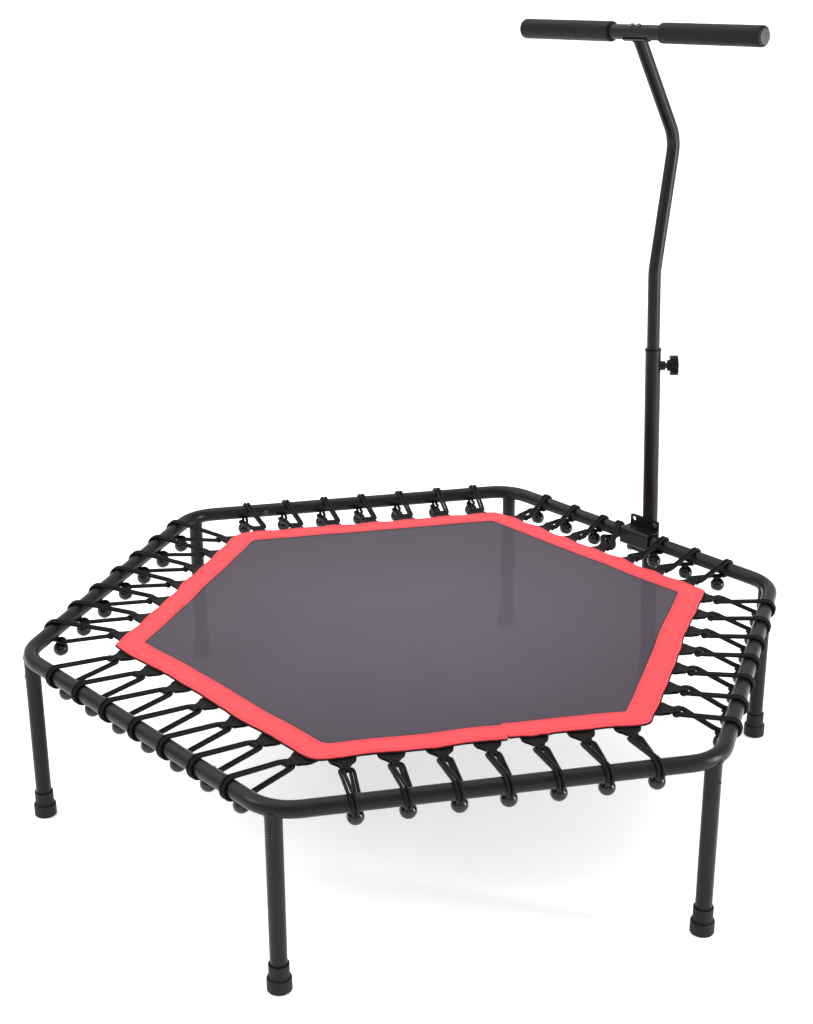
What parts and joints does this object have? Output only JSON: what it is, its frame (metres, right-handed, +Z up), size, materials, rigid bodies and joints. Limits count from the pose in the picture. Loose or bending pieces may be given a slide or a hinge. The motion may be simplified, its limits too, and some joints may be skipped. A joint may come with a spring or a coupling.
{
  "type": "mini trampoline",
  "caption": "Hexagonal mini trampoline: bent-tube ring on straight legs, woven mat with a coloured border held by ball bungees, and a height-adjustable T-shaped hand bar.",
  "frame": {"origin": "on the floor under the centre of the mat", "axes": "+Z up, +Y out through the side that carries the hand bar, +X to the right of a person facing the bar"},
  "size_m": [1.2828, 1.205, 1.2229],
  "materials": {
    "black_tube": "semi-gloss black powder coat",
    "dark_steel": "blackened steel",
    "black_rubber": "matt moulded rubber",
    "mat_weave": "fine woven polypropylene, dark grey with a purple cast",
    "red_border": "satin coral red webbing",
    "black_webbing": "black nylon webbing",
    "bungee_cord": "braided elastic cord",
    "black_ball": "glossy black ball",
    "black_plastic": "moulded black plastic",
    "foam_grip": "closed-cell foam",
    "grey_cap": "grey plastic"
  },
  "bodies": {
    "frame": {"frame_segment_1": "black_tube", "frame_segment_2": "black_tube", "frame_segment_3": "black_tube", "frame_joint_screws": "dark_steel", "leg_sockets": "black_tube", "leg_pins": "dark_steel", "leg_right": "black_tube", "leg_back_right": "black_tube", "leg_back_left": "black_tube", "leg_left": "black_tube", "leg_front_left": "black_tube", "leg_front_right": "black_tube", "foot_right": "black_rubber", "foot_back_right": "black_rubber", "foot_back_left": "black_rubber", "foot_left": "black_rubber", "foot_front_left": "black_rubber", "foot_front_right": "black_rubber", "bungee_cords_back": "bungee_cord", "bungee_cords_back_left": "bungee_cord", "bungee_cords_front_left": "bungee_cord", "bungee_cords_front": "bungee_cord", "bungee_cords_front_right": "bungee_cord", "bungee_cords_back_right": "bungee_cord", "bungee_balls_back": "black_ball", "bungee_balls_back_left": "black_ball", "bungee_balls_front_left": "black_ball", "bungee_balls_front": "black_ball", "bungee_balls_front_right": "black_ball", "bungee_balls_back_right": "black_ball", "clamp_plate": "black_tube", "clamp_channel": "black_tube", "clamp_bolts": "dark_steel", "clamp_nuts": "dark_steel", "lower_post": "black_tube", "post_foot": "black_rubber", "post_liner": "black_plastic", "lock_boss": "black_tube"},
    "jumping_mat": {"mat": "mat_weave", "mat_border": "red_border", "mat_backing": "black_webbing", "mat_tabs_back": "black_webbing", "mat_tabs_back_left": "black_webbing", "mat_tabs_front_left": "black_webbing", "mat_tabs_front": "black_webbing", "mat_tabs_front_right": "black_webbing", "mat_tabs_back_right": "black_webbing"},
    "hand_bar": {"upper_tube": "black_tube", "bar_saddle": "black_tube", "handlebar": "black_tube", "bar_screws": "dark_steel", "grip_left": "foam_grip", "grip_right": "foam_grip", "bar_cap_left": "grey_cap", "bar_cap_right": "grey_cap"},
    "clamp_screw": {"clamp_screw": "dark_steel"},
    "knob": {"knob": "black_plastic"}
  },
  "joints": [
    {"name": "mat_bounce", "type": "slide", "parent": "frame", "child": "jumping_mat", "axis": [0, 0, 1], "range_m": [-0.12, 0.02], "stiffness_N_per_m": 7000, "deforming": ["bungee_cords_back", "bungee_cords_back_left", "bungee_cords_front_left", "bungee_cords_front", "bungee_cords_front_right", "bungee_cords_back_right"]},
    {"name": "hand_bar_height", "type": "slide", "parent": "frame", "child": "hand_bar", "axis": [-0.0419, 0, 0.9991], "range_m": [-0.12, 0.13]},
    {"name": "clamp_screw_feed", "type": "slide", "parent": "frame", "child": "clamp_screw", "axis": [0.7065, 0.7071, 0.0296], "range_m": [0, 0.0046]},
    {"name": "knob_turn", "type": "hinge", "parent": "clamp_screw", "child": "knob", "pos_m": [0.02471, 0.60194, 0.61261], "axis": [0.7065, 0.7071, 0.0296], "range_deg": [0, 1080]}
  ],
  "couplings": [
    {"joint": "clamp_screw_feed", "follows": "knob_turn", "m_per_rad": 0.00023873}
  ]
}
